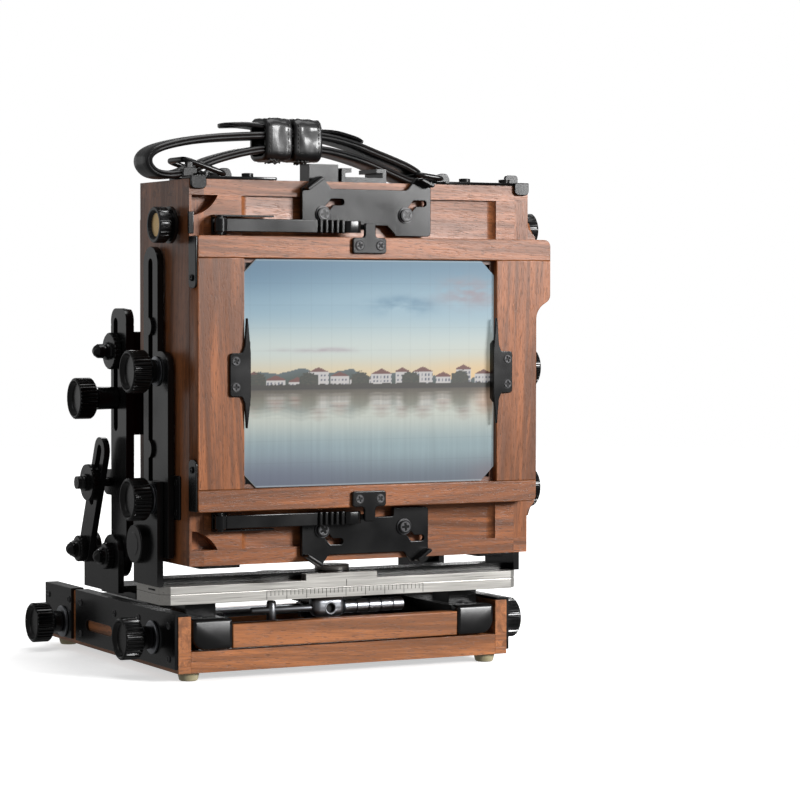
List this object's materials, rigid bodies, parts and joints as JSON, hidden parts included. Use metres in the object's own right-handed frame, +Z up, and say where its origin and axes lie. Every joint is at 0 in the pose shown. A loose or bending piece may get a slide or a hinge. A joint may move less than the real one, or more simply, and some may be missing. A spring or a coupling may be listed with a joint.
{
  "type": "large format field camera",
  "caption": "Folding large format field camera in walnut and black metal, with a focusing screen, bellows, lens and leather handle.",
  "frame": {"origin": "mouth of the tripod socket, on the underside of the base", "axes": "+X right seen from the focusing screen, +Y towards the lens, +Z up"},
  "size_m": [0.208, 0.1945, 0.2534],
  "materials": {
    "walnut": "oiled satin walnut with dark streaks",
    "black_metal": "satin black anodised",
    "nickel": "brushed nickel",
    "chrome": "polished",
    "steel": "satin",
    "brass": "satin brass in a black knob",
    "rubber": "translucent olive rubber",
    "bellows_cloth": "pleated bellows cloth",
    "leather": "glossy stitched leather",
    "vial": "level vial",
    "ground_glass": "ground, showing a projected view",
    "clear_sheet": "clear sheet with clipped corners",
    "lens_glass": "coated"
  },
  "bodies": {
    "base": {"base_walls": "walnut", "base_floor": "black_metal", "tripod_bush": "steel", "rubber_feet": "rubber", "side_plates": "black_metal", "guide_rails": "black_metal", "bellows": "bellows_cloth"},
    "rear_tray": {"rear_tray": "black_metal", "tray_bar": "walnut", "tray_caps": "black_metal", "scale_plate": "nickel", "shift_lock_block": "nickel"},
    "shift_lock": {"shift_lock_barrel": "chrome"},
    "rear_focus_drive": {"rear_focus_shaft": "steel", "rear_focus_knobs": "black_metal"},
    "front_focus_drive": {"front_focus_shaft": "steel", "front_focus_knobs": "black_metal"},
    "rear_shift": {"shift_plate": "nickel"},
    "rear_swing": {"swing_plate": "black_metal"},
    "rear_arms": {"rear_arms": "black_metal"},
    "rear_tilt_knob_left": {"rear_tilt_knob_left": "black_metal"},
    "rear_tilt_knob_right": {"rear_tilt_knob_right": "black_metal"},
    "rear_rise_knob_left": {"rear_rise_knob_left": "black_metal"},
    "rear_rise_knob_right": {"rear_rise_knob_right": "black_metal"},
    "rear_box": {"rear_box": "walnut", "rear_face": "walnut", "box_fittings": "black_metal", "level_vial": "vial", "strap_anchors": "black_metal", "handle_strap": "leather", "handle_sleeve": "leather"},
    "back_lock_left": {"back_lock_left": "brass"},
    "back_lock_right": {"back_lock_right": "brass"},
    "top_latch_left": {"top_latch_left": "black_metal"},
    "top_latch_right": {"top_latch_right": "black_metal"},
    "film_lock_top": {"film_lock_top": "black_metal"},
    "film_lock_bottom": {"film_lock_bottom": "black_metal"},
    "spring_arm_top": {"spring_arm_top": "black_metal"},
    "spring_arm_bottom": {"spring_arm_bottom": "black_metal"},
    "focusing_screen": {"screen_frame": "walnut", "ground_glass": "ground_glass", "fresnel_sheet": "clear_sheet", "screen_clips": "black_metal", "screen_lugs": "black_metal"},
    "front_tray": {"front_tray": "black_metal"},
    "front_swing": {"front_swing_plate": "black_metal"},
    "front_uprights": {"front_uprights": "black_metal"},
    "front_struts": {"front_struts": "black_metal"},
    "front_rise_knob_left": {"front_rise_knob_left": "black_metal"},
    "front_rise_knob_right": {"front_rise_knob_right": "black_metal"},
    "front_frame": {"front_frame": "walnut", "lens_board": "black_metal", "shutter_housing": "black_metal", "lens_cells": "black_metal", "lens_glass": "lens_glass"},
    "board_latch": {"board_latch": "black_metal"},
    "speed_ring": {"speed_ring": "black_metal"},
    "aperture_lever": {"aperture_lever": "steel"},
    "cocking_lever": {"cocking_lever": "steel"},
    "release_lever": {"release_lever": "steel"}
  },
  "joints": [
    {"name": "rear_focus", "type": "slide", "parent": "base", "child": "rear_tray", "axis": [0, -1, 0], "range_m": [0, 0.06], "deforming": ["bellows"]},
    {"name": "rear_focus_knob", "type": "hinge", "parent": "base", "child": "rear_focus_drive", "pos_m": [0, -0.0473, 0.014], "axis": [1, 0, 0], "range_deg": [0, 860]},
    {"name": "front_focus", "type": "slide", "parent": "base", "child": "front_tray", "axis": [0, 1, 0], "range_m": [0, 0.06], "deforming": ["bellows"]},
    {"name": "front_focus_knob", "type": "hinge", "parent": "base", "child": "front_focus_drive", "pos_m": [0, 0.068, 0.0096], "axis": [1, 0, 0], "range_deg": [-860, 0]},
    {"name": "shift_lock", "type": "hinge", "parent": "rear_tray", "child": "shift_lock", "pos_m": [0, -0.06, 0.025], "axis": [1, 0, 0], "range_deg": [-60, 60]},
    {"name": "rear_shift", "type": "slide", "parent": "rear_tray", "child": "rear_shift", "axis": [1, 0, 0], "range_m": [-0.015, 0.015], "deforming": ["bellows"]},
    {"name": "rear_swing", "type": "hinge", "parent": "rear_shift", "child": "rear_swing", "pos_m": [0, -0.057, 0.0406], "axis": [0, 0, 1], "range_deg": [-8, 8], "deforming": ["bellows"]},
    {"name": "rear_tilt", "type": "hinge", "parent": "rear_swing", "child": "rear_arms", "pos_m": [0, -0.05, 0.057], "axis": [-1, 0, 0], "range_deg": [-15, 5], "deforming": ["bellows"]},
    {"name": "rear_rise", "type": "slide", "parent": "rear_arms", "child": "rear_box", "axis": [0, 0, 1], "range_m": [0, 0.025], "deforming": ["bellows"]},
    {"name": "rear_tilt_knob_left", "type": "hinge", "parent": "rear_swing", "child": "rear_tilt_knob_left", "pos_m": [-0.098, -0.062, 0.078], "axis": [1, 0, 0], "range_deg": [-180, 180]},
    {"name": "rear_rise_knob_left", "type": "hinge", "parent": "rear_arms", "child": "rear_rise_knob_left", "pos_m": [-0.098, -0.062, 0.135], "axis": [1, 0, 0], "range_deg": [-180, 180]},
    {"name": "back_lock_left", "type": "hinge", "parent": "rear_box", "child": "back_lock_left", "pos_m": [-0.092, -0.074, 0.2], "axis": [1, 0, 0], "range_deg": [-90, 90]},
    {"name": "top_latch_left", "type": "slide", "parent": "rear_box", "child": "top_latch_left", "axis": [1, 0, 0], "range_m": [0, 0.005]},
    {"name": "rear_tilt_knob_right", "type": "hinge", "parent": "rear_swing", "child": "rear_tilt_knob_right", "pos_m": [0.098, -0.062, 0.078], "axis": [1, 0, 0], "range_deg": [-180, 180]},
    {"name": "rear_rise_knob_right", "type": "hinge", "parent": "rear_arms", "child": "rear_rise_knob_right", "pos_m": [0.098, -0.062, 0.135], "axis": [1, 0, 0], "range_deg": [-180, 180]},
    {"name": "back_lock_right", "type": "hinge", "parent": "rear_box", "child": "back_lock_right", "pos_m": [0.092, -0.074, 0.2], "axis": [1, 0, 0], "range_deg": [-90, 90]},
    {"name": "top_latch_right", "type": "slide", "parent": "rear_box", "child": "top_latch_right", "axis": [-1, 0, 0], "range_m": [0, 0.005]},
    {"name": "film_lock_top", "type": "slide", "parent": "rear_box", "child": "film_lock_top", "axis": [-0.8566, 0, -0.5159], "range_m": [0, 0.009]},
    {"name": "film_lock_bottom", "type": "slide", "parent": "rear_box", "child": "film_lock_bottom", "axis": [-0.8566, 0, 0.5159], "range_m": [0, 0.009]},
    {"name": "screen_back", "type": "slide", "parent": "rear_box", "child": "focusing_screen", "axis": [0, -1, 0], "range_m": [0, 0.012], "stiffness_N_per_m": 400, "springref_m": -0.002},
    {"name": "spring_arm_top", "type": "hinge", "parent": "rear_box", "child": "spring_arm_top", "pos_m": [-0.0738, -0.097, 0.1997], "axis": [0, 0, 1], "range_deg": [-10, 0]},
    {"name": "spring_arm_bottom", "type": "hinge", "parent": "rear_box", "child": "spring_arm_bottom", "pos_m": [-0.0738, -0.097, 0.0693], "axis": [0, 0, 1], "range_deg": [-10, 0]},
    {"name": "front_swing", "type": "hinge", "parent": "front_tray", "child": "front_swing", "pos_m": [0, 0.008, 0.031], "axis": [0, 0, 1], "range_deg": [-10, 10], "deforming": ["bellows"]},
    {"name": "front_tilt", "type": "hinge", "parent": "front_swing", "child": "front_uprights", "pos_m": [0, 0.003, 0.047], "axis": [1, 0, 0], "range_deg": [-12, 8], "deforming": ["bellows"]},
    {"name": "front_strut", "type": "hinge", "parent": "front_swing", "child": "front_struts", "pos_m": [0, 0.0288, 0.0486], "axis": [1, 0, 0], "range_deg": [-12, 8]},
    {"name": "front_rise", "type": "slide", "parent": "front_uprights", "child": "front_frame", "axis": [0, 0, 1], "range_m": [-0.006, 0.012], "deforming": ["bellows"]},
    {"name": "front_rise_knob_left", "type": "hinge", "parent": "front_frame", "child": "front_rise_knob_left", "pos_m": [-0.098, 0.004, 0.121], "axis": [1, 0, 0], "range_deg": [-180, 180]},
    {"name": "front_rise_knob_right", "type": "hinge", "parent": "front_frame", "child": "front_rise_knob_right", "pos_m": [0.098, 0.004, 0.121], "axis": [1, 0, 0], "range_deg": [-180, 180]},
    {"name": "board_latch", "type": "slide", "parent": "front_frame", "child": "board_latch", "axis": [0, 0, 1], "range_m": [0, 0.005]},
    {"name": "speed_ring", "type": "hinge", "parent": "front_frame", "child": "speed_ring", "pos_m": [0, 0.028, 0.1345], "axis": [0, 1, 0], "range_deg": [-120, 120]},
    {"name": "aperture_lever", "type": "hinge", "parent": "front_frame", "child": "aperture_lever", "pos_m": [0, 0.013, 0.1345], "axis": [0, 1, 0], "range_deg": [-40, 40]},
    {"name": "cocking_lever", "type": "hinge", "parent": "front_frame", "child": "cocking_lever", "pos_m": [0, 0.017, 0.1345], "axis": [0, 1, 0], "range_deg": [0, 35]},
    {"name": "release_lever", "type": "hinge", "parent": "front_frame", "child": "release_lever", "pos_m": [0, 0.021, 0.1345], "axis": [0, 1, 0], "range_deg": [-15, 0], "stiffness_Nm_per_rad": 0.02}
  ],
  "couplings": [
    {"joint": "rear_focus_knob", "follows": "rear_focus", "rad_per_m": 250},
    {"joint": "front_focus_knob", "follows": "front_focus", "rad_per_m": -250},
    {"joint": "spring_arm_top", "follows": "screen_back", "rad_per_m": -14.3},
    {"joint": "spring_arm_bottom", "follows": "screen_back", "rad_per_m": -14.3},
    {"joint": "front_strut", "follows": "front_tilt", "ratio": 0.76}
  ]
}
